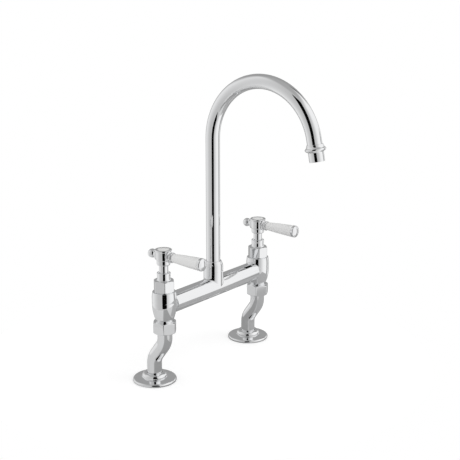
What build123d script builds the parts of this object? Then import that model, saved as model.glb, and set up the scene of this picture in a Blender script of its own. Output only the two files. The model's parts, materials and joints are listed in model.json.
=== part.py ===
from build123d import *
import math
import os

# Bridge kitchen faucet, in millimetres. The origin lies on the worktop, midway between the two
# feet. +Z is up, +X runs from the hot column to the cold one, and the spout and levers face -Y.

# ---- layout ----
tap_centres = 177.6            # hot to cold, at the columns
foot_centres = 180.0           # hot to cold, at the feet; the legs are turned outwards to suit
leg_offset = 16.1              # each foot stands this far behind its column
bridge_drop = 17.2             # valve body's rim down to the bridge's axis

# ---- heights that stack up from the worktop ----
leg_reach = 63.1               # worktop to the underside of the union nut
nut_height = 13.7
body_height = 36.1             # top of the nut to the valve body's rim
hex_height = 13.6
collar_height = 9.1
neck_height = 8.75             # collar's top to the cuff under the hub
cuff_height = 5.8
barrel_height = 10.1
crown_height = 2.6

# ---- fits ----
running_gap = 0.05             # radial, for what turns in a bore
slip_gap = 0.10                # radial, for what is pushed or screwed in by hand
free_gap = 0.30                # between moving pieces that don't touch

# ---- cover flange ----
flange_radius = 25.8
flange_rim_round = 0.5
flange_edge = 3.6              # height of the rim
flange_slope = 1.9             # the rim leans in by so much up to there
flange_crown = 5.0             # height of the plate beside its hub
flange_hub_radius = 15.0       # at the plate
flange_cove = 0.6
flange_lip_radius = 10.6       # at the top of the hub
flange_shoulder_bow = 1.2
flange_height = 10.2
flange_hollow_radius = 21.5
flange_hollow = 2.6

cut_past = 1.0                 # a cutting shape stands so far out of what it cuts

# ---- cranked leg ----
leg_radius = 8.7
leg_bore_radius = 6.2
lower_knee = 28.0              # height where the leg's lower two straight lines meet
upper_knee_drop = 7.0          # the upper two meet so far below the turned tail
knee_radius = 20.0
foot_radius = 12.5
foot_height = 2.3
inlet_radius = 7.475           # 3/8 inch pipe thread, on its crests
inlet_depth = 12.0
leg_tail_reach = 6.1           # the turned tail is brazed to the tube so far below the nut
leg_collar_radius = 10.0
leg_collar_height = 2.6
washer_height = 1.6

# ---- union nut ----
nut_flats = 25.4
nut_lip = 1.8
nut_chamfer = 1.3
nut_edge_round = 1.2           # on the six upright edges
hot_nut_turn = 36.5            # where each nut happens to have been tightened to
cold_nut_turn = 29.4

# ---- valve body ----
body_neck_radius = 10.05
body_neck_edge = 0.5
body_neck_show = 0.6           # what shows of the straight neck above the nut
body_waist_radius = 11.2
body_waist_height = 3.8        # above the nut
body_belly_radius = 14.3
body_belly_height = 24.0       # above the nut
body_rim_radius = 13.6
rim_round = 0.5
waterway_radius = 6.5
seat_height = 9.2              # above the nut
chamber_radius = 9.2
shoulder_drop = 9.9            # rim down to the shoulder that carries the cartridge
mouth_radius = 11.1
port_radius = 7.0
bridge_seat_wall = 0.6         # metal between the mouth and the floor of the bridge's socket

# ---- bridge and tee ----
bridge_radius = 12.0
bridge_wall = 2.0
tee_radius = 11.8
tee_boss_height = 26.7         # bridge's axis to the top of the straight boss
tee_lip_radius = 9.8
tee_lip_edge = 0.7
tee_height = 33.2
tee_groove_drop = 5.3          # top of the straight boss down to the fine groove round it
tee_groove_half = 0.5
tee_groove_depth = 0.4
tee_fillet = 3.0               # where the tee is blended into the bridge
body_fillet = 0.7              # round the bridge's socket in each valve body
tee_floor = 1.4                # metal left between the bridge and the spout's socket

# ---- spout ----
spout_radius = 8.4
spout_wall = 1.2
half_turn = 180.0              # degrees
bend_radius = 71.8
bend_sweep = 168.5
bend_centre_height = 277.6     # above the worktop
tail_height = 12.0
tail_spigot_height = 8.0
tail_bore_radius = 5.5
tail_chamfer = 0.6
tail_seal_inset = 2.4          # each seal's middle from the nearer end of the tail
groove_depth = 1.35
seal_section = 0.66            # radius of an O-ring's section
retainer_groove = 2.6
screw_radius = 2.0
screw_tip_radius = 1.0
screw_hex_radius = 1.1
screw_hex_depth = 1.2

# ---- outlet nozzle ----
outlet_drop = 24.0             # end of the bend to the mouth, along the axis
nozzle_height = 19.0
nozzle_edge = 0.4              # inside the mouth
skirt_radius = 8.65
skirt_edge = 0.3
skirt_height = 9.6
bead_radius = 11.7
bead_height = 13.5             # middle of the bead above the mouth
bead_lower = 2.2               # the bead reaches so far below and above its middle
bead_upper = 1.4
bead_underside = 1.6           # it is narrower by so much at its two ends
bead_shoulder = 0.9
nozzle_top_edge = 0.4
nozzle_throat_radius = 7.2
throat_depth = 6.0
outlet_radius = 6.4
tube_seat = 8.0                # end of the spout's tube above the mouth
straightener_height = 3.6
straightener_hole = 0.85
straightener_pitch = 2.35
straightener_rings = 2

# ---- cartridge ----
seal_height = 2.4
disc_height = 2.4
disc_radius = 7.6
drive_height = 2.2
barrel_foot = 1.0              # cartridge barrel above the seat
chamber_roof = 7.0             # height of the mixing space over the drive plate
window_width = 6.0
cartridge_flange_height = 3.0
cartridge_neck_radius = 6.6
cartridge_neck_height = 22.0
spindle_radius = 4.2
spindle_seal_rises = (4.0, 8.0)   # each seal's middle above the roof of the mixing space
port_inner_radius = 2.2
port_outer_radius = 5.8
port_angle = 78.0
spline_radius = 3.95
spline_depth = 0.45
spline_teeth = 20

# ---- bonnet ----
hex_flats = 22.3
hex_chamfer = 1.1
hex_edge_round = 1.0
hex_turn = 47.0
spigot_height = 6.9
bonnet_bore_radius = 7.2
collar_base_radius = 9.3
collar_waist_radius = 7.7
collar_radius = 7.9
collar_flare = 2.2             # height of the flare at the collar's foot
collar_edge = 0.9
collar_lip = 1.3               # width of the lip round the dish
collar_roof = 3.4
collar_dish = 1.6

# ---- handle ----
neck_radius = 5.25
cuff_radius = 7.8
cuff_round = 1.6               # on the cuff's lower edge
barrel_radius = 8.6
barrel_round = 1.1             # height of the round on the barrel's lower edge
hub_edge = 0.3
crown_radius = 9.7
crown_flare = 1.0              # height over which the barrel widens to the crown
crown_edge = 0.5
lever_drop = 7.6               # top of the crown down to the lever's axis
index_radius = 6.9
index_recess = 1.2
index_edge_drop = 0.2          # edge of the index disc below the top of the crown
index_dome = 1.05
screw_head_radius = 3.4
screw_head_height = 2.4
screw_socket_radius = 1.5
screw_shank_radius = 1.7
screw_end_gap = 2.0            # left below the screw in its hole
spline_length = 13.0
lever_boss_radius = 7.0
lever_boss_reach = 9.6         # column's axis to the ferrule
lever_boss_round = 0.8
ferrule_length = 6.4
ferrule_foot_radius = 6.0
ferrule_cove_length = 3.5
ferrule_cove_bow = 1.3
ferrule_bead_radius = 5.6      # at both ends of the bead, which bulges between them
ferrule_bead_length = 1.7
ferrule_bead_bow = 0.4
sleeve_length = 38.7
sleeve_small_radius = 5.0
sleeve_large_radius = 7.15
sleeve_edge = 0.4
sleeve_shoulder = 2.5          # the sleeve draws in over this length, by the tuck, at the cap
sleeve_tuck = 0.6
sleeve_bore_radius = 2.6
cap_radius = 7.3
cap_rim = 2.6
cap_edge = 0.5                 # round at the sleeve's side
cap_round = 1.4                # round at the dome's side
cap_dome = 1.6
rod_radius = 2.0
rod_inner_reach = 4.0          # column's axis to the inner end of the rod
rod_cap_grip = 2.2
finial_reach = 17.0            # column's axis to the middle of the ball
finial_radius = 5.2
finial_neck_radius = 3.4
finial_foot_radius = 4.3
finial_foot_thickness = 0.8
back_boss_radius = 7.0
back_boss_reach = 8.8          # column's axis to the finial's foot
back_boss_round = 1.2
finial_stud_radius = 2.0

# ---- places that follow from the sizes ----
half_centres = tap_centres / 2
foot_spread = (foot_centres - tap_centres) / 2
crank_reach = math.hypot(leg_offset, foot_spread)
crank_turn = math.degrees(math.atan2(foot_spread, leg_offset))
nut_top = leg_reach + nut_height
rim_level = nut_top + body_height
bridge_level = rim_level - bridge_drop
hex_top = rim_level + hex_height
collar_top = hex_top + collar_height
cuff_base = collar_top + neck_height
barrel_base = cuff_base + cuff_height
crown_base = barrel_base + barrel_height
crown_top = crown_base + crown_height
lever_level = crown_top - lever_drop

leg_joint = leg_reach - leg_tail_reach
upper_knee = leg_joint - upper_knee_drop
knee_turn = math.atan2(crank_reach, upper_knee - lower_knee)
tightest_straight = min(lower_knee, upper_knee_drop)
bend_radius_of_leg = min(knee_radius, 0.99 * tightest_straight / math.tan(knee_turn / 2))
leg_collar_base = leg_reach + nut_lip
leg_top = leg_collar_base + leg_collar_height
neck_base = leg_top + washer_height
thread_bore_radius = body_neck_radius + slip_gap
seat_level = nut_top + seat_height
shoulder_level = rim_level - shoulder_drop
mouth_thread_radius = mouth_radius - slip_gap
bridge_seat = mouth_radius + bridge_seat_wall      # column's axis to the end of the bridge

tee_top = bridge_level + tee_height
socket_floor = bridge_level + bridge_radius + tee_floor
socket_radius = spout_radius + running_gap
tube_foot = socket_floor + tail_height
retainer_level = socket_floor + tail_height / 2
bend_end = half_turn - bend_sweep    # degrees left between the spout's end and straight down
mouth_reach = bend_radius * (1 + math.cos(math.radians(bend_end)))
mouth_reach += outlet_drop * math.sin(math.radians(bend_end))
mouth_level = bend_centre_height + bend_radius * math.sin(math.radians(bend_end))
mouth_level -= outlet_drop * math.cos(math.radians(bend_end))

fixed_disc_base = seat_level + seal_height
moving_disc_base = fixed_disc_base + disc_height
drive_base = moving_disc_base + disc_height
spindle_shoulder = drive_base + drive_height
chamber_top = drive_base + chamber_roof
cartridge_flange_top = shoulder_level + cartridge_flange_height
cartridge_top = cartridge_flange_top + cartridge_neck_height
spindle_top = collar_top + spline_length
screw_seat = crown_top - index_recess - screw_head_height - free_gap
sleeve_start = lever_boss_reach + ferrule_length
sleeve_end = sleeve_start + sleeve_length


# ---- shapes ----
def outline(points):
    # A closed outline, walked anticlockwise, of (radius, height) corners. A third number bows the
    # stretch that ends at that corner outwards by so much.
    edges = []
    for here, there in zip(points, points[1:] + points[:1]):
        start = Vector(here[0], here[1])
        end = Vector(there[0], there[1])
        if len(there) == 3:
            outward = (end - start).normalized().rotate(Axis.Z, -90)
            edges.append(ThreePointArc(start, (start + end) * 0.5 + outward * there[2], end))
        else:
            edges.append(Line(start, end))
    return make_face(edges)


def turned(*points):
    # A lathe-turned piece about the Z axis.
    return revolve(Plane.XZ * outline(list(points)), Axis.Z)


def quarter_bow(radius):
    # How far a quarter round of this radius bows out from its chord.
    return radius * (1 - math.sqrt(0.5))


def dome_bow(radius, rise):
    # How far the last stretch of a dome's outline bows out, so that the dome is a slice of a ball.
    ball = (radius ** 2 + rise ** 2) / (2 * rise)
    return ball - math.sqrt(ball ** 2 - (radius ** 2 + rise ** 2) / 4)


def disc(radius, low, high):
    return Pos(0, 0, low) * extrude(Circle(radius), high - low)


def ring(inner, outer, low, high):
    return Pos(0, 0, low) * extrude(Circle(outer) - Circle(inner), high - low)


def hexagon(flats, low, high, chamfer, edge_round, turn):
    # A hexagonal bar whose corners are turned off at both ends, as a nut's are.
    corner = flats / 2 / math.cos(math.radians(30))
    face = flats / 2
    section = RegularPolygon(corner, 6, rotation=turn)
    section = fillet(section.vertices(), edge_round)
    bar = Pos(0, 0, low) * extrude(section, high - low)
    envelope = turned(
        (0, low), (face, low), (corner, low + chamfer), (corner, high - chamfer), (face, high),
        (0, high),
    )
    return bar & envelope


def spline_bar(radius, depth, low, high):
    # A toothed shaft: as many V-shaped grooves as the standard spline has teeth.
    rim = []
    for step in range(2 * spline_teeth):
        reach = radius if step % 2 == 0 else radius - depth
        angle = math.pi * step / spline_teeth
        rim.append((reach * math.cos(angle), reach * math.sin(angle)))
    return Pos(0, 0, low) * extrude(make_face(Polyline(*rim, close=True)), high - low)


def sector_ports(low, high, turn):
    # The two opposite ports of a ceramic disc or of its drive plate.
    slot = Plane.XZ * outline([
        (port_inner_radius, low), (port_outer_radius, low), (port_outer_radius, high),
        (port_inner_radius, high),
    ])
    port = revolve(slot, Axis.Z, port_angle)
    first = Rot(0, 0, turn - port_angle / 2) * port
    return first + Rot(0, 0, 180) * first


def seal(groove_floor, level):
    return Pos(0, 0, level) * Torus(groove_floor + seal_section, seal_section)


def blended(piece, neighbour, radius):
    # The piece with a fillet of this radius where it meets the neighbour, and the neighbour's
    # own room cut out of it.
    union = piece + neighbour
    seam = new_edges(piece, neighbour, combined=union)
    return fillet(seam, radius) - neighbour


def along_lever(piece):
    # From a lathe axis (+Z) to the lever's axis, which points forwards from the column.
    return Pos(0, 0, lever_level) * Rot(90, 0, 0) * piece


# ---- feet and legs, built about the column's axis and turned with the leg afterwards ----
def at_foot(piece):
    return Pos(0, crank_reach, 0) * piece


def cover_flange():
    bore = leg_radius + free_gap
    plate = turned(
        (bore, flange_hollow),
        (flange_hollow_radius, flange_hollow),
        (flange_hollow_radius, 0),
        (flange_radius - flange_rim_round, 0),
        (flange_radius, flange_rim_round, quarter_bow(flange_rim_round)),
        (flange_radius - flange_slope, flange_edge, 0.75),
        (flange_hub_radius + flange_cove, flange_crown, -0.05),
        (flange_hub_radius, flange_crown + flange_cove, -quarter_bow(flange_cove)),
        (flange_lip_radius, flange_height, flange_shoulder_bow),
        (bore, flange_height),
    )
    return at_foot(plate)


def leg_route(base, top):
    return FilletPolyline(
        (0, crank_reach, base),
        (0, crank_reach, lower_knee),
        (0, 0, upper_knee),
        (0, 0, top),
        radius=bend_radius_of_leg,
    )


def cranked_leg():
    route = leg_route(0, leg_joint)
    start = Plane(origin=route @ 0, z_dir=route % 0)
    tube = sweep(start * Circle(leg_radius), path=route)
    foot = disc(foot_radius, 0, foot_height)
    inlet = disc(inlet_radius, 0, inlet_depth)
    water = sweep(start * Circle(leg_bore_radius), path=route)
    return tube + at_foot(foot) - water - at_foot(inlet)


def leg_tail():
    # The turned end of the leg, with the collar that the nut pulls on.
    return turned(
        (leg_bore_radius, leg_joint),
        (leg_radius, leg_joint),
        (leg_radius, leg_collar_base),
        (leg_collar_radius, leg_collar_base),
        (leg_collar_radius, leg_top),
        (leg_bore_radius, leg_top),
    )


def leg_washer():
    return ring(leg_bore_radius, leg_collar_radius, leg_top, neck_base)


def union_nut(turn):
    nut = hexagon(nut_flats, leg_reach, nut_top, nut_chamfer, nut_edge_round, turn)
    passage = disc(leg_radius + slip_gap, leg_reach, nut_top)
    thread = disc(thread_bore_radius, leg_collar_base, nut_top)
    return nut - passage - thread


# ---- valve bodies and bridge ----
def valve_body(inward):
    # inward is +1 where the bridge leaves towards +X, and -1 where it leaves towards -X.
    waist = nut_top + body_waist_height
    belly = nut_top + body_belly_height
    casting = turned(
        (waterway_radius, neck_base),
        (body_neck_radius - body_neck_edge, neck_base),
        (body_neck_radius, neck_base + body_neck_edge),
        (body_neck_radius, nut_top + body_neck_show),
        (body_waist_radius, waist, -0.12),
        (body_belly_radius, belly, 1.05),
        (body_rim_radius, rim_level - rim_round, 0.32),
        (body_rim_radius - rim_round, rim_level, quarter_bow(rim_round)),
        (mouth_radius, rim_level),
        (mouth_radius, shoulder_level),
        (chamber_radius, shoulder_level),
        (chamber_radius, seat_level),
        (waterway_radius, seat_level),
    )
    sideways = Pos(0, 0, bridge_level) * Rot(0, 90 * inward, 0)
    port = sideways * disc(port_radius, 0, bridge_seat)
    socket = sideways * disc(bridge_radius, bridge_seat, bridge_seat + body_belly_radius)
    return blended(casting, socket, body_fillet) - port


def bridge_tube():
    reach = half_centres - bridge_seat
    tube = Rot(0, 90, 0) * ring(bridge_radius - bridge_wall, bridge_radius, -reach, reach)
    tube -= disc(waterway_radius, 0, bridge_radius + cut_past)
    return Pos(0, 0, bridge_level) * tube


def spout_tee():
    boss = turned(
        (0, bridge_level),
        (tee_radius, bridge_level),
        (tee_radius, bridge_level + tee_boss_height),
        (tee_lip_radius, tee_top - tee_lip_edge, 0.35),
        (tee_lip_radius - tee_lip_edge, tee_top, quarter_bow(tee_lip_edge)),
        (0, tee_top),
    )
    groove_level = bridge_level + tee_boss_height - tee_groove_drop
    groove_low = groove_level - tee_groove_half
    groove_high = groove_level + tee_groove_half
    groove_floor = tee_radius - tee_groove_depth
    boss -= ring(groove_floor, tee_radius + cut_past, groove_low, groove_high)
    stretch = tee_radius + 2 * tee_fillet
    saddle = Pos(0, 0, bridge_level) * Rot(0, 90, 0) * disc(bridge_radius, -stretch, stretch)
    boss = blended(boss, saddle, tee_fillet)
    boss -= disc(socket_radius, socket_floor, tee_top)
    boss -= disc(waterway_radius, bridge_level, socket_floor)
    hole = Pos(0, 0, retainer_level) * Rot(-90, 0, 0) * disc(screw_radius, 0, tee_radius)
    return boss - hole


def spout_grub_screw():
    # Its tip runs in the tail's middle groove, which lets the spout turn but not lift.
    inner = socket_radius + free_gap
    outer = tee_radius - free_gap
    tip = spout_radius - groove_depth + free_gap
    screw = disc(screw_radius, inner, outer) + disc(screw_tip_radius, tip, inner)
    hex_key = extrude(RegularPolygon(screw_hex_radius, 6), screw_hex_depth)
    screw -= Pos(0, 0, outer - screw_hex_depth) * hex_key
    return Pos(0, 0, retainer_level) * Rot(-90, 0, 0) * screw


# ---- spout ----
def tail_seal_levels():
    return [socket_floor + tail_seal_inset, tube_foot - tail_seal_inset]


def spout_tail():
    groove_floor = spout_radius - groove_depth
    groove_half = seal_section + slip_gap
    outer = turned(
        (tail_bore_radius, socket_floor),
        (spout_radius - tail_chamfer, socket_floor),
        (spout_radius, socket_floor + tail_chamfer),
        (spout_radius, tube_foot),
        (spout_radius - spout_wall, tube_foot),
        (spout_radius - spout_wall, tube_foot + tail_spigot_height),
        (tail_bore_radius, tube_foot + tail_spigot_height),
    )
    for level in tail_seal_levels():
        outer -= ring(groove_floor, spout_radius + cut_past, level - groove_half, level + groove_half)
    half = retainer_groove / 2
    return outer - ring(groove_floor, spout_radius + cut_past, retainer_level - half, retainer_level + half)


def spout_seals():
    groove_floor = spout_radius - groove_depth
    return Compound([seal(groove_floor, level) for level in tail_seal_levels()])


def spout_route():
    # Drawn in a plane whose first axis points forwards, over the sink.
    plane = Plane(origin=(0, 0, 0), x_dir=(0, -1, 0), z_dir=(-1, 0, 0))
    riser = Line((0, tube_foot), (0, bend_centre_height))
    bend = CenterArc((bend_radius, bend_centre_height), bend_radius, half_turn, -bend_sweep)
    ahead = bend % 1
    run_out = Line(bend @ 1, bend @ 1 + ahead * (outlet_drop - tube_seat))
    return plane * Curve([riser, bend, run_out])


def spout_tube():
    route = Wire(spout_route().edges())
    wall = Circle(spout_radius) - Circle(spout_radius - spout_wall)
    return sweep(Pos(0, 0, tube_foot) * wall, path=route)


def at_mouth(piece):
    # From a lathe axis, with the mouth at zero and +Z back up the tube, to the spout's end.
    return Pos(0, -mouth_reach, mouth_level) * Rot(-bend_end, 0, 0) * piece


def outlet_nozzle():
    bead_low = bead_height - bead_lower
    bead_high = bead_height + bead_upper
    nozzle = turned(
        (nozzle_throat_radius, nozzle_edge),
        (nozzle_throat_radius + nozzle_edge, 0),
        (skirt_radius - skirt_edge, 0),
        (skirt_radius, skirt_edge, quarter_bow(skirt_edge)),
        (skirt_radius, skirt_height),
        (bead_radius - bead_underside, bead_low, -0.5),
        (bead_radius, bead_height, 0.35),
        (bead_radius - bead_shoulder, bead_high, 0.35),
        (spout_radius + 2 * nozzle_top_edge, nozzle_height - nozzle_top_edge, -0.25),
        (spout_radius + nozzle_top_edge, nozzle_height, quarter_bow(nozzle_top_edge)),
        (spout_radius, nozzle_height),
        (spout_radius, tube_seat),
        (outlet_radius, tube_seat),
        (outlet_radius, throat_depth),
        (nozzle_throat_radius, throat_depth),
    )
    return at_mouth(nozzle)


def flow_straightener():
    low = throat_depth - straightener_height
    plug = disc(nozzle_throat_radius, low, throat_depth)
    holes = [Pos(0, 0, low) * Cylinder(straightener_hole, 4 * straightener_height)]
    for lap in range(1, straightener_rings + 1):
        count = 6 * lap
        for place in range(count):
            spot = Rot(0, 0, 360 * place / count) * Pos(lap * straightener_pitch, 0, low)
            holes.append(spot * Cylinder(straightener_hole, 4 * straightener_height))
    return at_mouth(plug - holes)


# ---- quarter-turn cartridge ----
def seat_seal():
    return ring(port_outer_radius + slip_gap, disc_radius, seat_level, fixed_disc_base)


def fixed_disc():
    blank = disc(disc_radius, fixed_disc_base, moving_disc_base)
    return blank - sector_ports(fixed_disc_base, moving_disc_base, 0)


def moving_disc():
    blank = disc(disc_radius - running_gap, moving_disc_base, drive_base)
    return blank - sector_ports(moving_disc_base, drive_base, 90)


def cartridge_body():
    disc_bore = disc_radius + running_gap
    barrel_outer = chamber_radius - slip_gap
    shell = turned(
        (disc_bore, seat_level + barrel_foot),
        (barrel_outer, seat_level + barrel_foot),
        (barrel_outer, shoulder_level),
        (mouth_thread_radius, shoulder_level),
        (mouth_thread_radius, cartridge_flange_top),
        (cartridge_neck_radius, cartridge_flange_top),
        (cartridge_neck_radius, cartridge_top),
        (spindle_radius + running_gap, cartridge_top),
        (spindle_radius + running_gap, chamber_top),
        (disc_bore, chamber_top),
    )
    window = Box(4 * chamber_radius, window_width, chamber_top - spindle_shoulder)
    return shell - Pos(0, 0, (chamber_top + spindle_shoulder) / 2) * window


def spindle_seal_levels():
    return [chamber_top + rise for rise in spindle_seal_rises]


def spindle():
    groove_floor = spindle_radius - groove_depth
    groove_half = seal_section + slip_gap
    plate = disc(disc_radius - running_gap, drive_base, spindle_shoulder)
    shaft = plate - sector_ports(drive_base, spindle_shoulder, 90)
    shaft += disc(spindle_radius, spindle_shoulder, collar_top)
    shaft += spline_bar(spline_radius, spline_depth, collar_top, spindle_top)
    for level in spindle_seal_levels():
        shaft -= ring(groove_floor, spindle_radius + 1, level - groove_half, level + groove_half)
    return shaft - disc(screw_shank_radius, spindle_top - spline_length, spindle_top)


def spindle_seals():
    groove_floor = spindle_radius - groove_depth
    return Compound([seal(groove_floor, level) for level in spindle_seal_levels()])


def bonnet():
    # The hexagon that the spanner grips, its threaded spigot in the valve body's mouth, and the
    # waisted collar round the handle's neck.
    spigot_base = rim_level - spigot_height
    roof = collar_top - collar_roof
    neck_hole = neck_radius + free_gap
    collar = turned(
        (0, hex_top),
        (collar_base_radius, hex_top),
        (collar_waist_radius, hex_top + collar_flare, -0.5),
        (collar_radius, collar_top - collar_edge, -0.15),
        (collar_radius - collar_edge, collar_top, quarter_bow(collar_edge)),
        (0, collar_top),
    )
    blank = hexagon(hex_flats, rim_level, hex_top, hex_chamfer, hex_edge_round, hex_turn) + collar
    blank += disc(mouth_thread_radius, spigot_base, rim_level)
    hollow = turned(
        (0, spigot_base),
        (bonnet_bore_radius, spigot_base),
        (bonnet_bore_radius, roof),
        (neck_hole, roof),
        (neck_hole, collar_top - collar_dish),
        (collar_radius - collar_lip, collar_top),
        (0, collar_top),
    )
    return blank - hollow


# ---- handle, at rest with its lever pointing forwards ----
def rounded_boss(radius, reach, edge):
    return turned(
        (0, 0),
        (radius, 0),
        (radius, reach - edge),
        (radius - edge, reach, quarter_bow(edge)),
        (0, reach),
    )


def handle_hub():
    foot = collar_top - collar_roof + free_gap
    casting = turned(
        (0, foot),
        (neck_radius, foot),
        (neck_radius, cuff_base),
        (cuff_radius - cuff_round, cuff_base),
        (cuff_radius, cuff_base + cuff_round, quarter_bow(cuff_round)),
        (cuff_radius, barrel_base),
        (barrel_radius, barrel_base + barrel_round, 0.2),
        (barrel_radius, crown_base - hub_edge),
        (crown_radius, crown_base + crown_flare, -0.2),
        (crown_radius, crown_top - crown_edge, 0.2),
        (crown_radius - crown_edge, crown_top, quarter_bow(crown_edge)),
        (0, crown_top),
    )
    lever_boss = along_lever(rounded_boss(lever_boss_radius, lever_boss_reach, lever_boss_round))
    back_boss = along_lever(rounded_boss(back_boss_radius, back_boss_reach, back_boss_round))
    hub = casting + lever_boss + Rot(0, 0, 180) * back_boss
    hub -= disc(index_radius, crown_top - index_recess, crown_top)
    hub -= disc(screw_head_radius + slip_gap, screw_seat, crown_top)
    hub -= disc(screw_shank_radius + slip_gap, foot, screw_seat)
    hub -= disc(spindle_radius + slip_gap, foot, collar_top)
    hub -= spline_bar(spline_radius + running_gap, spline_depth, collar_top, spindle_top)
    hub -= along_lever(disc(rod_radius, rod_inner_reach, lever_boss_reach))
    stud = along_lever(disc(finial_stud_radius, rod_inner_reach, back_boss_reach))
    return hub - Rot(0, 0, 180) * stud


def handle_screw():
    head = disc(screw_head_radius, screw_seat, screw_seat + screw_head_height)
    head -= Pos(0, 0, screw_seat + screw_head_height / 2) * extrude(
        RegularPolygon(screw_socket_radius, 6), screw_head_height
    )
    return head + disc(screw_shank_radius, spindle_top - spline_length + screw_end_gap, screw_seat)


def index_disc():
    base = crown_top - index_recess
    edge = crown_top - index_edge_drop
    return turned(
        (0, base), (index_radius, base), (index_radius, edge),
        (0, edge + index_dome, dome_bow(index_radius, index_dome)),
    )


def finial():
    # A ball on a waisted neck whose foot stands on the boss at the back of the hub.
    neck_end = finial_reach - math.sqrt(finial_radius ** 2 - finial_neck_radius ** 2)
    knob = turned(
        (0, back_boss_reach),
        (finial_foot_radius, back_boss_reach),
        (finial_foot_radius, back_boss_reach + finial_foot_thickness),
        (finial_neck_radius, neck_end, -0.35),
        (0, neck_end),
    )
    knob += Pos(0, 0, finial_reach) * Sphere(finial_radius)
    knob += disc(finial_stud_radius, rod_inner_reach, back_boss_reach)
    return Rot(0, 0, 180) * along_lever(knob)


def lever_rod():
    return along_lever(disc(rod_radius, rod_inner_reach, sleeve_end + rod_cap_grip))


def lever_ferrule():
    # A dark cove against the hub, then a bright bead, then a small cove against the sleeve.
    bead = lever_boss_reach + ferrule_cove_length
    collar = turned(
        (rod_radius, lever_boss_reach),
        (ferrule_foot_radius, lever_boss_reach),
        (ferrule_bead_radius, bead, -ferrule_cove_bow),
        (ferrule_bead_radius, bead + ferrule_bead_length, ferrule_bead_bow),
        (sleeve_small_radius, sleeve_start, -0.2),
        (rod_radius, sleeve_start),
    )
    return along_lever(collar)


def lever_sleeve():
    sleeve = turned(
        (sleeve_bore_radius, sleeve_start),
        (sleeve_small_radius - sleeve_edge, sleeve_start),
        (sleeve_small_radius, sleeve_start + sleeve_edge, quarter_bow(sleeve_edge)),
        (sleeve_large_radius, sleeve_end - sleeve_shoulder, 0.25),
        (sleeve_large_radius - sleeve_tuck, sleeve_end, 0.5),
        (sleeve_bore_radius, sleeve_end),
    )
    return along_lever(sleeve)


def lever_cap():
    face = sleeve_end + cap_rim
    dome_base = face + cap_round
    dome_radius = cap_radius - cap_round
    cap = turned(
        (0, sleeve_end),
        (cap_radius - cap_edge, sleeve_end),
        (cap_radius, sleeve_end + cap_edge, quarter_bow(cap_edge)),
        (cap_radius, face),
        (dome_radius, dome_base, quarter_bow(cap_round)),
        (0, dome_base + cap_dome, dome_bow(dome_radius, cap_dome)),
    )
    return along_lever(cap - disc(rod_radius, sleeve_end, sleeve_end + rod_cap_grip))


# ---- assembly ----
def at_column(side, piece):
    return Pos(side * half_centres, -leg_offset, 0) * piece


def at_middle(piece):
    return Pos(0, -leg_offset, 0) * piece


nodes = {
    "bridge_tube": at_middle(bridge_tube()),
    "spout_tee": at_middle(spout_tee()),
    "spout_grub_screw": at_middle(spout_grub_screw()),
    "spout_tail": at_middle(spout_tail()),
    "spout_seals": at_middle(spout_seals()),
    "spout_tube": at_middle(spout_tube()),
    "outlet_nozzle": at_middle(outlet_nozzle()),
    "flow_straightener": at_middle(flow_straightener()),
}
for name, side, nut_turn in (("hot", -1, hot_nut_turn), ("cold", 1, cold_nut_turn)):
    leg_turn = Rot(0, 0, -side * crank_turn)
    column = {
        "cover_flange": leg_turn * cover_flange(),
        "cranked_leg": leg_turn * cranked_leg(),
        "leg_tail": leg_tail(),
        "leg_washer": leg_washer(),
        "union_nut": union_nut(nut_turn),
        "valve_body": valve_body(-side),
        "seat_seal": seat_seal(),
        "fixed_disc": fixed_disc(),
        "moving_disc": moving_disc(),
        "cartridge_body": cartridge_body(),
        "spindle": spindle(),
        "spindle_seals": spindle_seals(),
        "bonnet": bonnet(),
        "handle_hub": handle_hub(),
        "handle_screw": handle_screw(),
        "index_disc": index_disc(),
        "finial": finial(),
        "lever_rod": lever_rod(),
        "lever_ferrule": lever_ferrule(),
        "lever_sleeve": lever_sleeve(),
        "lever_cap": lever_cap(),
    }
    for piece_name, piece in column.items():
        nodes[f"{name}_{piece_name}"] = at_column(side, piece)

os.makedirs("parts", exist_ok=True)
for node, shape in nodes.items():
    export_step(shape, f"parts/{node}.step")
print(len(nodes), "nodes written")
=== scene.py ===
import bmesh
import bpy
import json
import math
from mathutils import Matrix, Vector


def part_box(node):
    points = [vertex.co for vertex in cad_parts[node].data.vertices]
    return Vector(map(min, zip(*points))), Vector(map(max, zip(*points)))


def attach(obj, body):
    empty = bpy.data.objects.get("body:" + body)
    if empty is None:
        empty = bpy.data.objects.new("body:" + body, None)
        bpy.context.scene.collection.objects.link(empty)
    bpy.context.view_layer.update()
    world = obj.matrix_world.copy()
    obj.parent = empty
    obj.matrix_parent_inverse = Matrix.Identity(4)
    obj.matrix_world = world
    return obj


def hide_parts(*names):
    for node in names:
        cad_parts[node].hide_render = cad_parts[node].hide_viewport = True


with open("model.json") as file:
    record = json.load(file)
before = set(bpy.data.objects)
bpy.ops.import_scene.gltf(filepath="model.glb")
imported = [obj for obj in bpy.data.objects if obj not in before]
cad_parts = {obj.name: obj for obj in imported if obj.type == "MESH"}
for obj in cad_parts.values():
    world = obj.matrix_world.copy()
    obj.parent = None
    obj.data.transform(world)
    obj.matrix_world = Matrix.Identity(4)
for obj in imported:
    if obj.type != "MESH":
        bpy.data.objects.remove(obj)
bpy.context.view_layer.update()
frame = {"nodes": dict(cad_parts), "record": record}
sides = ("hot", "cold")
mm = 0.001
print("frame loaded")


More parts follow.
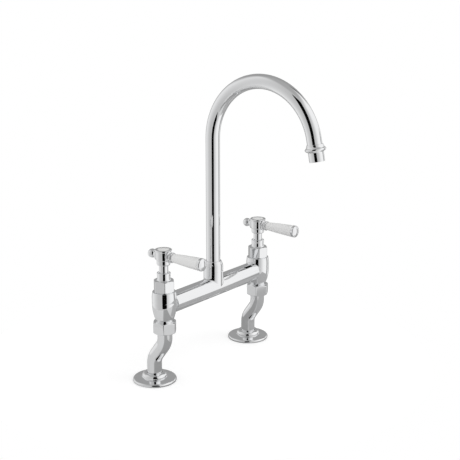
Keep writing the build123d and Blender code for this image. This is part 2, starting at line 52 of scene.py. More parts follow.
class Wire:  # a socket in a node tree that takes part in plain arithmetic
    def __init__(self, tree, socket=None):
        self.tree = tree
        self.socket = socket

    def make(self, kind, settings, values, output=0):
        node = self.tree.nodes.new("ShaderNode" + kind)
        for name, setting in settings.items():
            setattr(node, name, setting)
        for name, value in values.items():
            if isinstance(value, Wire):
                self.tree.links.new(value.socket, node.inputs[name])
            else:
                node.inputs[name].default_value = value
        return Wire(self.tree, node.outputs[output])

    def calc(self, operation, first, second=0.0):
        return self.make("Math", {"operation": operation}, {0: first, 1: second})

    def size(self):
        return self.calc("ABSOLUTE", self)

    def orMore(self, other):
        return self.calc("MAXIMUM", self, other)

    def __add__(self, other):
        return self.calc("ADD", self, other)

    def __sub__(self, other):
        return self.calc("SUBTRACT", self, other)

    def __rsub__(self, other):
        return self.calc("SUBTRACT", other, self)

    def __mul__(self, other):
        return self.calc("MULTIPLY", self, other)

    __rmul__ = __mul__


def newSurface(name):  # a material and the wire that its nodes start from
    material = bpy.data.materials.new(name)
    material.use_nodes = True
    tree = material.node_tree
    tree.nodes.clear()
    return material, Wire(tree)


def finishSurface(start, shader):
    output = start.tree.nodes.new("ShaderNodeOutputMaterial")
    start.tree.links.new(shader.socket, output.inputs["Surface"])


def objectPlace(start, scale=(1, 1, 1)):
    place = start.make("TexCoord", {}, {}, "Object")
    return start.make("Mapping", {}, {"Vector": place, "Scale": scale})


def noiseOver(start, place, scale, detail):
    return start.make("TexNoise", {}, {"Vector": place, "Scale": scale, "Detail": detail})


def blendColours(start, share, first, second):
    return start.make("Mix", {"data_type": "RGBA"}, {0: share, 6: (*first, 1), 7: (*second, 1)}, 2)


def along(start, vector, direction):  # how far a vector reaches in a fixed direction
    return start.make("VectorMath", {"operation": "DOT_PRODUCT"}, {0: vector, 1: direction}, 1)


def heightOf(start, vector):
    return start.make("SeparateXYZ", {}, {0: vector}, 2)


def bumpOver(start, height, strength, distance):
    return start.make("Bump", {}, {"Strength": strength, "Distance": distance, "Height": height})


def smoothRise(start, value, low, high):  # 0 below low, 1 above high
    return start.make("MapRange", {"interpolation_type": "SMOOTHSTEP"}, {0: value, 1: low, 2: high})


chromeLook = {
    "tone": (0.90, 0.905, 0.91),
    "toneDull": (0.85, 0.855, 0.865),
    "roughness": 0.03,
    "roughnessSpread": 0.04,
    "cloudScale": 34,
    "wipeScale": (90, 90, 700),  # the cloth went round the columns
    "swellScale": 130,
    "swellStrength": 0.4,
    "swellDepth": 0.02 * mm,
    "splashScale": 420,
    "splashLow": 0.52,
    "splashHigh": 0.66,
    "hazeHeight": 30 * mm,  # dried splashes dull the chrome this far up from the worktop
    "hazeRoughness": 0.09,
}


def chromePlate():
    look = chromeLook
    material, start = newSurface("chromePlate")
    place = objectPlace(start)
    cloud = noiseOver(start, place, look["cloudScale"], 3)
    wipe = noiseOver(start, objectPlace(start, look["wipeScale"]), 1, 2)
    swell = noiseOver(start, place, look["swellScale"], 1)
    tone = blendColours(start, cloud, look["toneDull"], look["tone"])
    splashes = noiseOver(start, place, look["splashScale"], 4)
    low = smoothRise(start, heightOf(start, place), look["hazeHeight"], 0)
    spots = smoothRise(start, splashes, look["splashLow"], look["splashHigh"])
    haze = spots * low * look["hazeRoughness"]
    roughness = cloud * wipe * look["roughnessSpread"] + look["roughness"] + haze
    bump = bumpOver(start, swell, look["swellStrength"], look["swellDepth"])
    shader = start.make("BsdfPrincipled", {}, {
        "Base Color": tone, "Metallic": 1, "Roughness": roughness, "Normal": bump,
    })
    finishSurface(start, shader)
    return material


sleeveLook = {
    "tone": (0.84, 0.84, 0.838),
    "toneDull": (0.80, 0.80, 0.795),
    "cloudScale": 60,
    "rippleScale": 240,
    "rippleStrength": 0.2,
    "rippleDepth": 0.01 * mm,
    "roughness": 0.14,
    "roughnessSpread": 0.08,
    "glaze": 0.4,
    "glazeRoughness": 0.05,
}


def glazedSleeve():
    look = sleeveLook
    material, start = newSurface("glazedSleeve")
    place = objectPlace(start)
    cloud = noiseOver(start, place, look["cloudScale"], 3)
    ripple = noiseOver(start, place, look["rippleScale"], 2)
    shader = start.make("BsdfPrincipled", {}, {
        "Base Color": blendColours(start, cloud, look["toneDull"], look["tone"]),
        "Roughness": cloud * look["roughnessSpread"] + look["roughness"],
        "Normal": bumpOver(start, ripple, look["rippleStrength"], look["rippleDepth"]),
        "Coat Weight": look["glaze"],
        "Coat Roughness": look["glazeRoughness"],
    })
    finishSurface(start, shader)
    return material


plainLook = {
    "cloudScale": 120,
    "grainScale": 900,
    "grainStrength": 0.3,
    "grainDepth": 0.02 * mm,
    "roughnessSpread": 0.15,
    "still": (1, 1, 1),  # an even grain
    "turnedBrass": (0.2, 0.2, 9),  # a grain drawn out round the lathe's axis
    "turnedSteel": (0.2, 0.2, 6),
}


def plainFinish(name, tone, spread, roughness, metallic, grain="still"):
    look = plainLook
    material, start = newSurface(name)
    cloud = noiseOver(start, objectPlace(start), look["cloudScale"], 4)
    grainNoise = noiseOver(start, objectPlace(start, look[grain]), look["grainScale"], 2)
    dull = tuple(c * (1 - spread) for c in tone)
    shader = start.make("BsdfPrincipled", {}, {
        "Base Color": blendColours(start, cloud, dull, tone),
        "Metallic": metallic,
        "Roughness": cloud * look["roughnessSpread"] + roughness,
        "Normal": bumpOver(start, grainNoise, look["grainStrength"], look["grainDepth"]),
    })
    finishSurface(start, shader)
    return material


finishes = {  # tone, spread of the tone, roughness, metal or not
    "chrome": chromePlate(),
    "lever_ceramic": glazedSleeve(),
    "index_enamel": plainFinish("indexEnamel", (0.82, 0.82, 0.81), 0.05, 0.12, 0),
    "brass": plainFinish("machinedBrass", (0.78, 0.58, 0.28), 0.15, 0.25, 1, "turnedBrass"),
    "steel": plainFinish("machinedSteel", (0.62, 0.62, 0.62), 0.12, 0.3, 1, "turnedSteel"),
    "disc_ceramic": plainFinish("lappedCeramic", (0.85, 0.84, 0.80), 0.06, 0.35, 0),
    "rubber": plainFinish("sealRubber", (0.03, 0.03, 0.03), 0.3, 0.55, 0),
    "outlet_plastic": plainFinish("mouldedPlastic", (0.62, 0.63, 0.64), 0.08, 0.4, 0),
}
for part in frame["record"]["subparts"]:
    node = frame["nodes"][part["node"]]
    node.data.materials.clear()
    node.data.materials.append(finishes[part["material_slot"]])
print("finishes made")


latheLook = {
    "steps": 128,
    "guard": 0.25,  # a long face has a ring so far before each end, which keeps its shading flat
    "guardMost": 0.25,  # of its length, beyond which it goes without
    "shortSteps": 10,
    "arcStep": 5,  # degrees
    "arcLeast": 3,
    "cornerSteps": 3,
    "merge": 0.002,
    "softened": 25,  # degrees, from which a corner is taken off
    "sharp": 35,  # degrees, from which an edge is shaded sharp
}


def drawTo(bm, last, corner):  # a third number bows the stretch out, and 0 draws it in short steps
    look = latheLook
    end = Vector((corner[0], 0, corner[1])) * mm
    chord = end - last.co
    bow = corner[2] * mm if len(corner) == 3 else 0
    if bow == 0:
        guard = look["guard"] * mm / chord.length
        shares = (guard, 1 - guard, 1) if guard < look["guardMost"] else (1,)
        if len(corner) == 3:
            shares = [(step + 1) / look["shortSteps"] for step in range(look["shortSteps"])]
        begin = last.co.copy()
        for share in shares:
            last = bmesh.ops.extrude_vert_indiv(bm, verts=[last])["verts"][0]
            last.co = begin + chord * share
        return last
    turn = 4 * math.atan(2 * bow / chord.length)
    radius = chord.length / 2 / math.sin(abs(turn) / 2)
    outward = Vector((chord.z, 0, -chord.x)).normalized() * math.copysign(1, turn)
    centre = last.co + chord / 2 - outward * (radius - abs(bow))
    steps = max(look["arcLeast"], math.ceil(math.degrees(abs(turn)) / look["arcStep"]))
    drawn = bmesh.ops.spin(
        bm, geom=[last], cent=centre, axis=(0, -1, 0), angle=turn, steps=steps,
        use_merge=False, use_duplicate=False,
    )
    return drawn["geom_last"][0]


def softenCorners(bm, width):  # takes the sharpness off each corner of an outline
    least = math.radians(latheLook["softened"])
    sharp = [v for v in bm.verts if len(v.link_edges) == 2 and v.calc_edge_angle(0) > least]
    for vert in sharp:
        bmesh.ops.bevel(
            bm, geom=[vert], offset=width * mm, offset_type="OFFSET", affect="VERTICES",
            segments=latheLook["cornerSteps"], profile=0.5, material=-1, clamp_overlap=True,
        )


def turned(corners, softness, steps=latheLook["steps"]):  # a shape turned about the Z axis
    bm = bmesh.new()
    last = bm.verts.new(Vector((corners[0][0], 0, corners[0][1])) * mm)
    for corner in corners[1:]:
        last = drawTo(bm, last, corner)
    bmesh.ops.remove_doubles(bm, verts=bm.verts, dist=0.0001 * mm)
    softenCorners(bm, softness)
    bmesh.ops.spin(
        bm, geom=bm.verts[:] + bm.edges[:], cent=(0, 0, 0), axis=(0, 0, 1), angle=math.tau, steps=steps,
        use_merge=True, use_duplicate=False,
    )
    return bm


hexLook = {
    "faces": 6,
    "faceSharpness": 50,  # the higher, the tighter the rounding between two flats
    "blankSharpness": 70,  # and between a flat and what is left of the turned blank
    "margin": 0.01,  # above and below the flats
}


def pressFlats(bm, flats, turn, low, high):  # draws a turned blank in to flats with rounded edges
    look = hexLook
    count, sharpness, blank = look["faces"], look["faceSharpness"], look["blankSharpness"]
    margin = look["margin"]
    half = flats / 2 * mm
    firstFace = math.radians(turn) + math.pi / count
    for vert in bm.verts:
        if low - margin <= vert.co.z / mm <= high + margin:
            radius = math.hypot(vert.co.x, vert.co.y)
            around = math.atan2(vert.co.y, vert.co.x) - firstFace
            turns = (around - face * math.tau / count for face in range(count))
            facing = sum(max(0, math.cos(angle)) ** sharpness for angle in turns)
            reach = half / facing ** (1 / sharpness)
            drawn = (radius ** -blank + reach ** -blank) ** (-1 / blank)
            vert.co.x *= drawn / radius
            vert.co.y *= drawn / radius


def finishPiece(bm, name, body, node, slotName, place):  # also hides the CAD part that the piece stands in for
    bmesh.ops.transform(bm, matrix=place, verts=bm.verts)
    bmesh.ops.remove_doubles(bm, verts=bm.verts, dist=latheLook["merge"] * mm)
    bmesh.ops.recalc_face_normals(bm, faces=bm.faces)
    mesh = bpy.data.meshes.new(name)
    bm.to_mesh(mesh)
    bm.free()
    mesh.materials.append(finishes[slotName])
    mesh.shade_smooth()
    mesh.set_sharp_from_angle(angle=math.radians(latheLook["sharp"]))
    piece = bpy.data.objects.new(name, mesh)
    bpy.context.scene.collection.objects.link(piece)
    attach(piece, body)
    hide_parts(node)


def middleOf(node):
    low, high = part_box(node)
    return (Vector(low) + Vector(high)) / 2


def columnPlace(side):
    middle = middleOf(side + "_union_nut")
    return Matrix.Translation((middle.x, middle.y, 0))


def leverPlace(side):  # from a lathe axis to the lever's axis, which points forwards from the column
    level = Matrix.Translation((0, 0, middleOf(side + "_lever_sleeve").z))
    return columnPlace(side) @ level @ Matrix.Rotation(math.radians(90), 4, "X")


flangeShape = {
    "bore": 9.0,
    "hollow": 21.5,
    "hollowHeight": 2.6,
    "radius": 25.79,
    "rimRound": 0.5,
    "rimBow": 0.15,
    "rimHeight": 3.6,
    "slope": 1.9,
    "slopeBow": 0.75,
    "plateHeight": 5.0,
    "plateDish": 0.05,
    "cove": 0.6,
    "coveBow": 0.18,
    "hubRadius": 15.0,
    "lipRadius": 10.6,
    "shoulderBow": 1.2,
    "height": 10.2,
    "softness": 0.15,
    "steps": 192,
}


def coverFlange(side):
    look = flangeShape
    bore, hollow, radius = look["bore"], look["hollow"], look["radius"]
    hub, plate, cove = look["hubRadius"], look["plateHeight"], look["cove"]
    bm = turned([
        (bore, look["hollowHeight"]),
        (hollow, look["hollowHeight"]),
        (hollow, 0),
        (radius - look["rimRound"], 0),
        (radius, look["rimRound"], look["rimBow"]),
        (radius - look["slope"], look["rimHeight"], look["slopeBow"]),
        (hub + cove, plate, -look["plateDish"]),
        (hub, plate + cove, -look["coveBow"]),
        (look["lipRadius"], look["height"], look["shoulderBow"]),
        (bore, look["height"]),
        (bore, look["hollowHeight"]),
    ], look["softness"], look["steps"])
    foot = middleOf(side + "_cover_flange")
    place = Matrix.Translation((foot.x, foot.y, 0))
    finishPiece(bm, side + "CoverFlange", side + "_flange", side + "_cover_flange", "chrome", place)


nutShape = {
    "flats": 25.4,
    "chamfer": 1.3,
    "bottom": 63.1,
    "top": 76.8,
    "lip": 1.8,
    "legBore": 8.8,
    "threadBore": 10.15,
    "turn": {"hot": 36.5, "cold": 29.4},  # where each nut was tightened to
    "softness": 0.1,
    "steps": 360,
}


def unionNut(side):
    look = nutShape
    face = look["flats"] / 2
    corner = face / math.cos(math.pi / hexLook["faces"])
    low, high = look["bottom"], look["top"]
    seat = low + look["lip"]
    bm = turned([
        (look["legBore"], low),
        (face, low),
        (corner, low + look["chamfer"], 0),
        (corner, high - look["chamfer"]),
        (face, high, 0),
        (look["threadBore"], high),
        (look["threadBore"], seat),
        (look["legBore"], seat),
        (look["legBore"], low),
    ], look["softness"], look["steps"])
    pressFlats(bm, look["flats"], look["turn"][side], low, high)
    finishPiece(bm, side + "UnionNut", "bridge", side + "_union_nut", "chrome", columnPlace(side))


bonnetShape = {
    "flats": 22.3,
    "chamfer": 1.1,
    "turn": 47.0,
    "rim": 112.9,
    "hexTop": 126.5,
    "top": 135.6,
    "spigotBase": 106.0,
    "spigotRadius": 11.0,
    "boreRadius": 7.2,
    "neckHole": 5.55,
    "roof": 132.2,
    "collarFoot": 9.3,
    "collarWaist": 7.7,
    "waistHeight": 2.2,
    "waistBow": 0.5,
    "collarRadius": 7.9,
    "collarBow": 0.15,
    "collarRound": 0.9,
    "roundBow": 0.26,
    "lip": 1.3,
    "dish": 1.6,
    "softness": 0.1,
    "steps": 360,
}


def bonnet(side):
    look = bonnetShape
    face = look["flats"] / 2
    corner = face / math.cos(math.pi / hexLook["faces"])
    top, collar = look["top"], look["collarRadius"]
    bm = turned([
        (look["boreRadius"], look["spigotBase"]),
        (look["spigotRadius"], look["spigotBase"]),
        (look["spigotRadius"], look["rim"]),
        (face, look["rim"]),
        (corner, look["rim"] + look["chamfer"], 0),
        (corner, look["hexTop"] - look["chamfer"]),
        (face, look["hexTop"], 0),
        (look["collarFoot"], look["hexTop"]),
        (look["collarWaist"], look["hexTop"] + look["waistHeight"], -look["waistBow"]),
        (collar, top - look["collarRound"], -look["collarBow"]),
        (collar - look["collarRound"], top, look["roundBow"]),
        (collar - look["lip"], top),
        (look["neckHole"], top - look["dish"]),
        (look["neckHole"], look["roof"]),
        (look["boreRadius"], look["roof"]),
        (look["boreRadius"], look["spigotBase"]),
    ], look["softness"], look["steps"])
    pressFlats(bm, look["flats"], look["turn"], look["rim"], look["hexTop"])
    finishPiece(bm, side + "Bonnet", "bridge", side + "_bonnet", "chrome", columnPlace(side))


leverShape = {
    "softness": 0.1,
    "rodRadius": 2.0,
    "start": 9.6,
    "ferruleFoot": 6.0,
    "coveLength": 3.5,
    "coveBow": 1.3,
    "bead": 5.6,
    "beadLength": 1.7,
    "beadBow": 0.4,
    "seatBow": 0.2,
    "sleeveStart": 16.0,
    "sleeveEnd": 54.7,
    "sleeveSmall": 5.0,
    "sleeveLarge": 7.15,
    "sleeveBore": 2.6,
    "sleeveEdge": 0.4,
    "sleeveEdgeBow": 0.12,
    "sleeveBow": 0.25,
    "sleeveShoulder": 2.5,
    "sleeveTuck": 0.6,
    "sleeveTuckBow": 0.5,
    "glazeSoftness": 0.15,
    "capRadius": 7.3,
    "capEdge": 0.5,
    "capEdgeBow": 0.15,
    "capRim": 2.6,
    "capRound": 1.4,
    "capRoundBow": 0.41,
    "capDome": 1.6,
    "capDomeBow": 0.407,
    "socketDepth": 2.2,
}


def leverPieces(side):
    look = leverShape
    rod, small, large = look["rodRadius"], look["sleeveSmall"], look["sleeveLarge"]
    start, near, far = look["start"], look["sleeveStart"], look["sleeveEnd"]
    place = leverPlace(side)
    body = side + "_handle"
    beadStart = start + look["coveLength"]
    ferrule = turned([
        (rod, start),
        (look["ferruleFoot"], start),
        (look["bead"], beadStart, -look["coveBow"]),
        (look["bead"], beadStart + look["beadLength"], look["beadBow"]),
        (small, near, -look["seatBow"]),
        (rod, near),
        (rod, start),
    ], look["softness"])
    finishPiece(ferrule, side + "Ferrule", body, side + "_lever_ferrule", "chrome", place)
    edge = look["sleeveEdge"]
    sleeve = turned([
        (look["sleeveBore"], near),
        (small - edge, near),
        (small, near + edge, look["sleeveEdgeBow"]),
        (large, far - look["sleeveShoulder"], look["sleeveBow"]),
        (large - look["sleeveTuck"], far, look["sleeveTuckBow"]),
        (look["sleeveBore"], far),
        (look["sleeveBore"], near),
    ], look["glazeSoftness"])
    finishPiece(sleeve, side + "Sleeve", body, side + "_lever_sleeve", "lever_ceramic", place)
    rim, socket = look["capRadius"], far + look["socketDepth"]
    face = far + look["capRim"]
    dome = face + look["capRound"]
    cap = turned([
        (0, socket),
        (rod, socket),
        (rod, far),
        (rim - look["capEdge"], far),
        (rim, far + look["capEdge"], look["capEdgeBow"]),
        (rim, face),
        (rim - look["capRound"], dome, look["capRoundBow"]),
        (0, dome + look["capDome"], look["capDomeBow"]),
    ], look["softness"])
    finishPiece(cap, side + "Cap", body, side + "_lever_cap", "chrome", place)


hubShape = {
    "stem": 5.25,
    "stemBase": 132.2,
    "cuff": 7.8,
    "cuffBase": 144.35,
    "cuffRound": 1.6,
    "cuffBow": 0.47,
    "barrel": 8.6,
    "barrelBase": 150.15,
    "barrelRound": 1.1,
    "barrelBow": 0.32,
    "crown": 9.7,
    "crownBase": 160.25,
    "crownFlare": 1.0,
    "crownBow": 0.25,
    "crownTop": 162.85,
    "crownEdge": 0.5,
    "crownEdgeBow": 0.15,
    "seat": 7.0,
    "seatDepth": 1.2,
    "bossRoot": 3.0,  # both bosses start inside the barrel
    "frontBoss": 4.9,  # the neck that carries the ferrule
    "frontReach": 9.6,
    "flare": 6.4,
    "flareStart": 2.2,  # back from the reach
    "flareEnd": 0.5,
    "flareBow": 0.35,
    "flareEdge": 0.3,
    "flareEdgeBow": 0.08,
    "backBoss": 7.0,
    "backReach": 8.8,
    "backRound": 1.2,
    "backBow": 0.35,
    "softness": 0.12,
    "bossSoftness": 0.1,
    "steps": 160,
    "bossSteps": 96,
}


def addTo(bm, other, place):  # sets a second turned shape into the first
    bmesh.ops.transform(other, matrix=place, verts=other.verts)
    mesh = bpy.data.meshes.new("boss")
    other.to_mesh(mesh)
    other.free()
    bm.from_mesh(mesh)
    bpy.data.meshes.remove(mesh)


def handleHub(side):
    look = hubShape
    low, top = look["stemBase"], look["crownTop"]
    floor = top - look["seatDepth"]
    stem, cuff, barrel, crown = look["stem"], look["cuff"], look["barrel"], look["crown"]
    column = turned([
        (0, low),
        (stem, low),
        (stem, look["cuffBase"]),
        (cuff - look["cuffRound"], look["cuffBase"]),
        (cuff, look["cuffBase"] + look["cuffRound"], look["cuffBow"]),
        (cuff, look["barrelBase"]),
        (barrel - look["barrelRound"], look["barrelBase"]),
        (barrel, look["barrelBase"] + look["barrelRound"], look["barrelBow"]),
        (barrel, look["crownBase"]),
        (crown, look["crownBase"] + look["crownFlare"], -look["crownBow"]),
        (crown, top - look["crownEdge"]),
        (crown - look["crownEdge"], top, look["crownEdgeBow"]),
        (look["seat"], top),
        (look["seat"], floor),
        (0, floor),
    ], look["softness"], look["steps"])
    bmesh.ops.transform(column, matrix=columnPlace(side), verts=column.verts)
    root, neck, flare, reach = look["bossRoot"], look["frontBoss"], look["flare"], look["frontReach"]
    front = turned([
        (0, root),
        (neck, root),
        (neck, reach - look["flareStart"]),
        (flare, reach - look["flareEnd"], -look["flareBow"]),
        (flare - look["flareEdge"], reach, look["flareEdgeBow"]),
        (0, reach),
    ], look["bossSoftness"], look["bossSteps"])
    boss, reach = look["backBoss"], look["backReach"]
    back = turned([
        (0, root),
        (boss, root),
        (boss, reach - look["backRound"]),
        (boss - look["backRound"], reach, look["backBow"]),
        (0, reach),
    ], look["bossSoftness"], look["bossSteps"])
    addTo(column, front, leverPlace(side))
    addTo(column, back, leverPlace(side) @ Matrix.Rotation(math.pi, 4, "X"))
    inPlace = Matrix()
    finishPiece(column, side + "HandleHub", side + "_handle", side + "_handle_hub", "chrome", inPlace)


finialShape = {
    "foot": 8.8,
    "footRadius": 4.3,
    "footThickness": 0.8,
    "neckRadius": 3.4,
    "neckEnd": 13.066,
    "neckBow": 0.35,
    "ballEnd": 22.2,
    "ballBow": 3.383,
    "studRadius": 2.0,
    "studStart": 4.0,
    "softness": 0.12,
}


def finial(side):
    look = finialShape
    bm = turned([
        (0, look["studStart"]),
        (look["studRadius"], look["studStart"]),
        (look["studRadius"], look["foot"]),
        (look["footRadius"], look["foot"]),
        (look["footRadius"], look["foot"] + look["footThickness"]),
        (look["neckRadius"], look["neckEnd"], -look["neckBow"]),
        (0, look["ballEnd"], look["ballBow"]),
    ], look["softness"])
    place = leverPlace(side) @ Matrix.Rotation(math.pi, 4, "X")
    finishPiece(bm, side + "Finial", side + "_handle", side + "_finial", "chrome", place)


indexShape = {
    "base": 161.65,
    "edge": 162.65,
    "radius": 6.9,
    "dome": 1.05,
    "domeBow": 0.22,  # of the part inside the line
    "lineRadius": 5.9,  # a fine turned line inside the edge
    "lineHalf": 0.25,
    "lineBow": 0.01,
    "lineDepth": 0.22,
    "softness": 0.05,
}


def indexDisc(side):
    look = indexShape
    radius, line, half = look["radius"], look["lineRadius"], look["lineHalf"]
    ball = (radius ** 2 + look["dome"] ** 2) / (2 * look["dome"])
    top = look["edge"] + look["dome"]

    def domeAt(reach):
        return top - ball + math.sqrt(ball ** 2 - reach ** 2)

    bm = turned([
        (0, look["base"]),
        (radius, look["base"]),
        (radius, look["edge"]),
        (line + half, domeAt(line + half), look["lineBow"]),
        (line, domeAt(line) - look["lineDepth"]),
        (line - half, domeAt(line - half)),
        (0, top, look["domeBow"]),
    ], look["softness"])
    place = columnPlace(side)
    finishPiece(bm, side + "IndexDisc", side + "_handle", side + "_index_disc", "index_enamel", place)


nozzleShape = {
    "mouth": (0, -163.043, 268.397),
    "lean": 11.5,  # degrees from straight down
    "throat": 7.2,
    "throatDepth": 6.0,
    "mouthRound": 0.4,
    "skirt": 8.65,
    "skirtRound": 0.3,
    "skirtBow": 0.09,
    "skirtHeight": 9.6,
    "bead": 11.69,
    "beadHeight": 13.5,
    "beadLower": 2.2,
    "beadUnderside": 1.6,
    "beadUnderBow": 0.5,
    "beadUpper": 1.4,
    "beadShoulder": 0.9,
    "beadBow": 0.35,
    "tube": 8.4,
    "tubeSeat": 8.0,
    "outlet": 6.4,
    "height": 19.0,
    "topEdge": 0.4,
    "topCove": 0.25,
    "topBow": 0.12,
    "softness": 0.12,
    "steps": 160,
}


def nozzle():
    look = nozzleShape
    throat, skirt, bead = look["throat"], look["skirt"], look["bead"]
    middle, tube, top, edge = look["beadHeight"], look["tube"], look["height"], look["topEdge"]
    bm = turned([
        (throat, look["mouthRound"]),
        (throat + look["mouthRound"], 0),
        (skirt - look["skirtRound"], 0),
        (skirt, look["skirtRound"], look["skirtBow"]),
        (skirt, look["skirtHeight"]),
        (bead - look["beadUnderside"], middle - look["beadLower"], -look["beadUnderBow"]),
        (bead, middle, look["beadBow"]),
        (bead - look["beadShoulder"], middle + look["beadUpper"], look["beadBow"]),
        (tube + 2 * edge, top - edge, -look["topCove"]),
        (tube + edge, top, look["topBow"]),
        (tube, top),
        (tube, look["tubeSeat"]),
        (look["outlet"], look["tubeSeat"]),
        (look["outlet"], look["throatDepth"]),
        (throat, look["throatDepth"]),
        (throat, look["mouthRound"]),
    ], look["softness"], look["steps"])
    mouth = Matrix.Translation(Vector(look["mouth"]) * mm)
    place = mouth @ Matrix.Rotation(math.radians(-look["lean"]), 4, "X")
    finishPiece(bm, "outletNozzle", "spout", "outlet_nozzle", "chrome", place)


for side in sides:
    coverFlange(side)
    unionNut(side)
    bonnet(side)
    handleHub(side)
    leverPieces(side)
    finial(side)
    indexDisc(side)
nozzle()
print("pieces made")


# the photograph's white tent, dark board and floor
studioLook = {
    "cameraAzimuth": -51.43,
    "softTone": 0.85,  # the plain light that the tent gives to all that isn't glossy
    "frontTone": 0.56,  # the tent's wall behind the camera
    "rightTone": 0.98,
    "rightTurns": (12, 72),  # degrees round from the camera, between which the tone changes
    "leftTone": 0.86,
    "leftTurns": (40, 125),
    "backTone": 0.34,
    "backTurns": (125, 165),
    "roofTone": 0.42,
    "roofHeights": (0.75, 0.97),  # heights are the upward share of a direction
    "dimTone": 0.36,  # high up behind the object
    "dimRightHeights": (0.42, 0.50),
    "dimLeftHeights": (0.30, 0.60),
    "dimLeftTurns": (95, 150),
    "dimBackHeights": (0.255, 0.30),
    "dimBackTurns": (150, 168),
    "dimLowHeights": (0.38, 0.46),  # these two count downwards
    "dimLowTurns": (118, 132),
    "seamTurn": 131,  # where the tent is sewn together
    "seamBlur": 2,
    "seamHalf": 6,
    "seamOuter": 9,
    "seamTone": 0.14,
    "slitCentre": 113,
    "slitWidth": 9,
    "slitBlur": 3,
    "slitHeights": (0.25, 0.05),
    "slitTone": 0.36,
}


def blendTones(share, first, second):
    return (second - first) * share + first


def between(start, value, middle, outer, inner):  # 1 near the middle, 0 beyond the outer distance
    return smoothRise(start, (value - middle).size(), outer, inner)


def tentWall(start, towards):  # how bright the tent is in each direction
    look = studioLook
    turn = math.radians(look["cameraAzimuth"])
    ahead = along(start, towards, (math.sin(turn), -math.cos(turn), 0))
    across = along(start, towards, (math.cos(turn), math.sin(turn), 0))
    height = heightOf(start, towards)
    around = start.calc("ARCTAN2", across, ahead) * math.degrees(1)

    def zone(value, edges):
        return smoothRise(start, value, *look[edges])

    right = blendTones(zone(around, "rightTurns"), look["frontTone"], look["rightTone"])
    left = zone(around * -1, "leftTurns") * (look["leftTone"] - look["frontTone"])
    wall = right + left
    width, blur = look["slitWidth"], look["slitBlur"]
    slit = between(start, around, look["slitCentre"], width + blur, width) * zone(height, "slitHeights")
    wall = blendTones(slit, wall, look["slitTone"])
    wall = blendTones(zone(around.size(), "backTurns"), wall, look["backTone"])
    above = zone(height, "dimRightHeights")
    turnRight, blur = look["seamTurn"], look["seamBlur"]
    dimRight = smoothRise(start, around, turnRight - blur, turnRight + blur) * above
    dimLeft = zone(height, "dimLeftHeights") * zone(around * -1, "dimLeftTurns")
    dimBack = zone(height, "dimBackHeights") * zone(around.size(), "dimBackTurns")
    wall = blendTones(dimRight.orMore(dimLeft).orMore(dimBack), wall, look["dimTone"])
    half = look["seamHalf"]
    seam = between(start, around, turnRight + half, look["seamOuter"], half) * above
    wall = blendTones(seam, wall, look["seamTone"])
    dimLow = zone(height * -1, "dimLowHeights") * zone(around, "dimLowTurns")
    wall = blendTones(dimLow, wall, look["dimTone"])
    return blendTones(zone(height, "roofHeights"), wall, look["roofTone"])


def studioWorld():
    soft = studioLook["softTone"]
    world = bpy.data.worlds.new("studio")
    bpy.context.scene.world = world
    world.use_nodes = True
    world.node_tree.nodes.clear()
    start = Wire(world.node_tree)
    wall = tentWall(start, start.make("TexCoord", {}, {}, "Generated"))
    glossy = start.make("LightPath", {}, {}, "Is Glossy Ray")
    camera = start.make("LightPath", {}, {}, "Is Camera Ray")
    lit = blendTones(glossy, soft, wall)
    seen = blendTones(camera, lit, 1)
    shader = start.make("Background", {}, {"Color": (1, 1, 1, 1), "Strength": seen})
    output = world.node_tree.nodes.new("ShaderNodeOutputWorld")
    world.node_tree.links.new(shader.socket, output.inputs["Surface"])


def stageObject(name, bm, material):  # part of the scene, not of the faucet
    mesh = bpy.data.meshes.new(name)
    bm.to_mesh(mesh)
    bm.free()
    mesh.materials.append(material)
    stand = bpy.data.objects.new(name, mesh)
    bpy.context.scene.collection.objects.link(stand)
    return stand


floorLook = {
    "radius": 0.28,
    "steps": 96,
    "tone": 0.72,
    "cloudScale": 9,
    "cloudTone": 0.04,
    "cameraTone": 1.1,  # glows up to this, so that the camera sees it white
    "paintedShadeTone": 0.38,  # painted shade, seen only by glossy rays, in front of the bridge, towards the camera
    "shadeHalf": 0.056,
    "shadeEdges": (0.008, -0.004),  # how far it fades beyond that and within it
    "besideShare": 0.75,  # how much of that shade lies to its right
    "besideEdges": (-0.01, 0.02),
    "besideReach": (0.13, 0.10),
}


def studioFloor():
    look = floorLook
    bm = bmesh.new()
    bmesh.ops.create_circle(bm, cap_ends=True, segments=look["steps"], radius=look["radius"])
    material, start = newSurface("paleFloor")
    place = start.make("TexCoord", {}, {}, "Object")
    cloud = noiseOver(start, place, look["cloudScale"], 3)
    turn = math.radians(studioLook["cameraAzimuth"])
    aside = along(start, place, (math.cos(turn), math.sin(turn), 0))
    ahead = along(start, place, (math.sin(turn), -math.cos(turn), 0))
    # painted shade: glossy rays see the floor darker in front of the bridge and to its right, and the
    # chrome reflects that
    outer, inner = (look["shadeHalf"] + edge for edge in look["shadeEdges"])
    near, far = (look["shadeHalf"] + edge for edge in look["besideEdges"])
    beside = smoothRise(start, aside, near, far) * smoothRise(start, ahead, *look["besideReach"])
    shade = between(start, aside, 0, outer, inner).orMore(beside * look["besideShare"])
    glossy = start.make("LightPath", {}, {}, "Is Glossy Ray")
    tone = cloud * look["cloudTone"] + look["tone"]
    tone = tone - shade * glossy * (look["tone"] - look["paintedShadeTone"])
    matt = start.make("BsdfDiffuse", {}, {"Color": tone})
    lift = start.make("LightPath", {}, {}, "Is Camera Ray") * (look["cameraTone"] - look["tone"])
    glow = start.make("Emission", {}, {"Strength": lift})
    finishSurface(start, start.make("AddShader", {}, {0: matt, 1: glow}))
    stageObject("floor", bm, material)


flagLook = {
    "distance": 0.43,
    "width": 0.27,
    "low": -0.06,
    "high": 0.80,
    "shift": 0.004,
    "tone": 0.004,
    "cloudScale": 5,
}


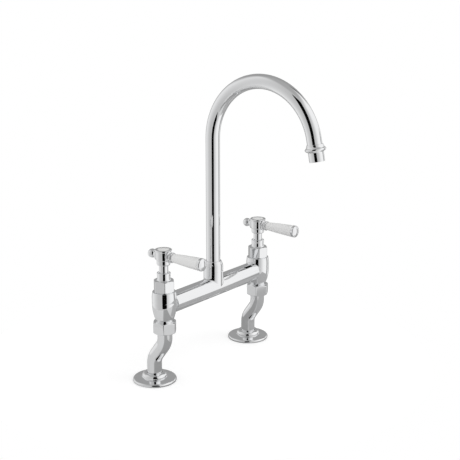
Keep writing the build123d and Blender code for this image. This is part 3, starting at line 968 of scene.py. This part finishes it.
def studioFlag():  # the dark board that draws the black line down the chrome
    look = flagLook
    bm = bmesh.new()
    bmesh.ops.create_grid(bm, x_segments=1, y_segments=1, size=0.5)
    height = look["high"] - look["low"]
    bmesh.ops.scale(bm, vec=(look["width"], height, 1), verts=bm.verts)
    bmesh.ops.rotate(bm, matrix=Matrix.Rotation(math.radians(90), 3, "X"), verts=bm.verts)
    middle = (look["shift"], -look["distance"], look["low"] + height / 2)
    bmesh.ops.translate(bm, vec=middle, verts=bm.verts)
    turn = Matrix.Rotation(math.radians(studioLook["cameraAzimuth"]), 3, "Z")
    bmesh.ops.rotate(bm, matrix=turn, verts=bm.verts)
    material, start = newSurface("blackFlag")
    cloud = noiseOver(start, objectPlace(start), look["cloudScale"], 2)
    finishSurface(start, start.make("BsdfDiffuse", {}, {"Color": cloud * look["tone"]}))
    flag = stageObject("flag", bm, material)
    flag.visible_camera = False
    flag.visible_diffuse = False
    flag.visible_shadow = False
    flag.visible_transmission = False


lampLook = {
    "size": 0.9,
    "energy": 4,
    "place": (0.5, -1.1, 1.5),
    "target": (0, 0, 0.12),
}


def studioLamp():
    look = lampLook
    lamp = bpy.data.lights.new("softbox", "AREA")
    lamp.size = look["size"]
    lamp.energy = look["energy"]
    holder = bpy.data.objects.new("softbox", lamp)
    bpy.context.scene.collection.objects.link(holder)
    holder.location = look["place"]
    aim = Vector(look["target"]) - holder.location
    holder.rotation_euler = aim.to_track_quat("-Z", "Y").to_euler()
    holder.visible_glossy = False


cameraLook = {
    "target": (-0.0172, -0.0556, 0.1769),  # a point on the axis of the lens
    "distance": 1.204,
    "focalShare": 67.55,  # millimetres of lens for each metre of distance
    "sensor": 36,
    "pitch": 74.75,
}


def photoCamera():
    look = cameraLook
    camera = bpy.data.cameras.new("camera")
    camera.lens = look["focalShare"] * look["distance"]
    camera.sensor_width = look["sensor"]
    holder = bpy.data.objects.new("camera", camera)
    bpy.context.scene.collection.objects.link(holder)
    holder.rotation_euler = (math.radians(look["pitch"]), 0, math.radians(studioLook["cameraAzimuth"]))
    back = holder.rotation_euler.to_matrix() @ Vector((0, 0, 1))
    holder.location = Vector(look["target"]) + back * look["distance"]
    bpy.context.scene.camera = holder


studioWorld()
studioFloor()
studioFlag()
studioLamp()
photoCamera()
bpy.context.scene.view_settings.view_transform = "Standard"
print("studio set")
